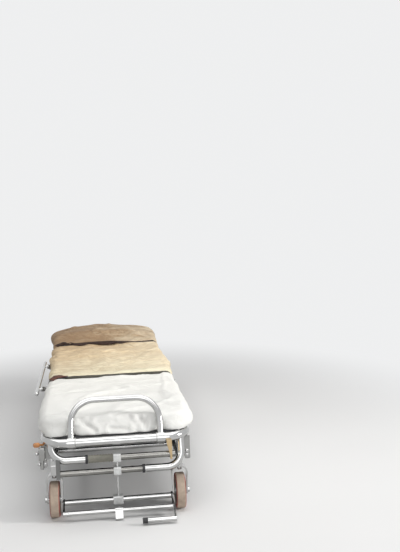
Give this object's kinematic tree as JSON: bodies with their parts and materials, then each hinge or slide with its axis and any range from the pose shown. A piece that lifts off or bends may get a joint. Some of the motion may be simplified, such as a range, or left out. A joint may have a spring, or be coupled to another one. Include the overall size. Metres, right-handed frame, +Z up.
{
  "type": "wheeled ambulance stretcher",
  "caption": "Low wheeled ambulance stretcher with a scissor lift, hinged backrest, cloth-covered mattress, safety straps, folding loop handle and fold-down side rails.",
  "frame": {"origin": "on the floor, under the middle of the whole object", "axes": "+Z up, +Y from the foot end with the loop handle to the head end, +X to the right seen from the foot end"},
  "size_m": [0.63, 2.01, 0.4069],
  "materials": {
    "chrome_tube": "polished",
    "satin_rod": "satin",
    "grey_metal": "satin",
    "clamp": "satin",
    "grip": "matt",
    "black_plastic": "matt",
    "webbing": "woven",
    "cover": "soft cloth",
    "dark_board": "matt",
    "hub": "cast",
    "tread": "solid tyre"
  },
  "bodies": {
    "bed": {"bed_frame": "chrome_tube", "bed_cross_tubes": "chrome_tube", "hip_brackets": "grey_metal", "back_rests": "grey_metal", "rail_pivots": "grey_metal", "loop_lugs": "grey_metal", "bar_plates": "grey_metal", "bed_track_left": "grey_metal", "bed_track_right": "grey_metal", "leg_board": "dark_board", "mattress_leg": "cover", "leg_strap": "webbing", "leg_buckle": "black_plastic", "lock_bar_left": "chrome_tube", "lock_bar_right": "chrome_tube", "lock_rod_left": "satin_rod", "lock_rod_right": "satin_rod", "rod_collar_left": "black_plastic", "rod_collar_right": "black_plastic", "rod_grip": "grip", "pull_rod": "clamp", "rod_hangers": "clamp", "pole_socket": "black_plastic"},
    "backrest": {"backrest_frame": "chrome_tube", "backrest_board": "dark_board", "mattress_back": "cover", "head_pad": "cover", "chest_strap": "webbing", "chest_buckle": "black_plastic"},
    "loop_handle": {"loop_handle": "chrome_tube"},
    "base": {"base_side_left": "chrome_tube", "base_side_right": "chrome_tube", "base_cross_tubes": "chrome_tube", "foot_fork_left": "chrome_tube", "foot_fork_right": "chrome_tube", "foot_axles": "chrome_tube", "fork_brace": "chrome_tube", "lock_catch": "clamp", "foot_brake": "chrome_tube", "pedal_cap": "black_plastic"},
    "leg_outer": {"outer_leg": "chrome_tube"},
    "leg_inner": {"inner_leg": "chrome_tube"},
    "wheel_foot_left": {"hub_foot_left": "hub", "tyre_foot_left": "tread"},
    "wheel_head_left": {"hub_head_left": "hub", "tyre_head_left": "tread"},
    "caster_left": {"caster_fork_left": "chrome_tube"},
    "post_foot_left": {"rail_post_foot_left": "grey_metal"},
    "post_head_left": {"rail_post_head_left": "grey_metal"},
    "rail_left": {"side_rail_left": "chrome_tube"},
    "wheel_foot_right": {"hub_foot_right": "hub", "tyre_foot_right": "tread"},
    "wheel_head_right": {"hub_head_right": "hub", "tyre_head_right": "tread"},
    "caster_right": {"caster_fork_right": "chrome_tube"},
    "post_foot_right": {"rail_post_foot_right": "grey_metal"},
    "post_head_right": {"rail_post_head_right": "grey_metal"},
    "rail_right": {"side_rail_right": "chrome_tube"}
  },
  "joints": [
    {"name": "lift_outer", "type": "hinge", "parent": "base", "child": "leg_outer", "pos_m": [0, -0.505, 0.19], "axis": [1, 0, 0], "range_deg": [0, 34.5]},
    {"name": "lift_inner", "type": "hinge", "parent": "leg_outer", "child": "leg_inner", "pos_m": [0, 0.0195, 0.213], "axis": [1, 0, 0], "range_deg": [-69, 0]},
    {"name": "lift_bed", "type": "hinge", "parent": "leg_inner", "child": "bed", "pos_m": [0, -0.505, 0.236], "axis": [1, 0, 0], "range_deg": [0, 34.5]},
    {"name": "backrest_tilt", "type": "hinge", "parent": "bed", "child": "backrest", "pos_m": [0, 0.295, 0.266], "axis": [1, 0, 0], "range_deg": [0, 70]},
    {"name": "loop_fold", "type": "hinge", "parent": "bed", "child": "loop_handle", "pos_m": [0, -0.879, 0.266], "axis": [1, 0, 0], "range_deg": [0, 165]},
    {"name": "wheel_foot_left_spin", "type": "hinge", "parent": "base", "child": "wheel_foot_left", "pos_m": [-0.22, -0.853, 0.0625], "axis": [1, 0, 0], "continuous": true},
    {"name": "caster_left_swivel", "type": "hinge", "parent": "base", "child": "caster_left", "pos_m": [-0.22, 0.681, 0.19], "axis": [0, 0, 1], "continuous": true},
    {"name": "wheel_head_left_spin", "type": "hinge", "parent": "caster_left", "child": "wheel_head_left", "pos_m": [-0.22, 0.653, 0.0625], "axis": [1, 0, 0], "continuous": true},
    {"name": "rail_left_raise", "type": "hinge", "parent": "bed", "child": "post_foot_left", "pos_m": [-0.2905, -0.015, 0.266], "axis": [-1, 0, 0], "range_deg": [-28, 77]},
    {"name": "rail_left_follow", "type": "hinge", "parent": "bed", "child": "post_head_left", "pos_m": [-0.2905, 0.465, 0.266], "axis": [-1, 0, 0], "range_deg": [-28, 77]},
    {"name": "rail_left_level", "type": "hinge", "parent": "post_foot_left", "child": "rail_left", "pos_m": [-0.2905, -0.23911, 0.31774], "axis": [-1, 0, 0], "range_deg": [-77, 28]},
    {"name": "wheel_foot_right_spin", "type": "hinge", "parent": "base", "child": "wheel_foot_right", "pos_m": [0.22, -0.853, 0.0625], "axis": [1, 0, 0], "continuous": true},
    {"name": "caster_right_swivel", "type": "hinge", "parent": "base", "child": "caster_right", "pos_m": [0.22, 0.681, 0.19], "axis": [0, 0, 1], "continuous": true},
    {"name": "wheel_head_right_spin", "type": "hinge", "parent": "caster_right", "child": "wheel_head_right", "pos_m": [0.22, 0.653, 0.0625], "axis": [1, 0, 0], "continuous": true},
    {"name": "rail_right_raise", "type": "hinge", "parent": "bed", "child": "post_foot_right", "pos_m": [0.2905, -0.015, 0.266], "axis": [-1, 0, 0], "range_deg": [0, 105]},
    {"name": "rail_right_follow", "type": "hinge", "parent": "bed", "child": "post_head_right", "pos_m": [0.2905, 0.465, 0.266], "axis": [-1, 0, 0], "range_deg": [0, 105]},
    {"name": "rail_right_level", "type": "hinge", "parent": "post_foot_right", "child": "rail_right", "pos_m": [0.2905, -0.23716, 0.20647], "axis": [-1, 0, 0], "range_deg": [-105, 0]}
  ],
  "couplings": [
    {"joint": "lift_inner", "follows": "lift_outer", "ratio": -2},
    {"joint": "lift_bed", "follows": "lift_outer", "ratio": 1},
    {"joint": "rail_left_follow", "follows": "rail_left_raise", "ratio": 1},
    {"joint": "rail_left_level", "follows": "rail_left_raise", "ratio": -1},
    {"joint": "rail_right_follow", "follows": "rail_right_raise", "ratio": 1},
    {"joint": "rail_right_level", "follows": "rail_right_raise", "ratio": -1}
  ]
}
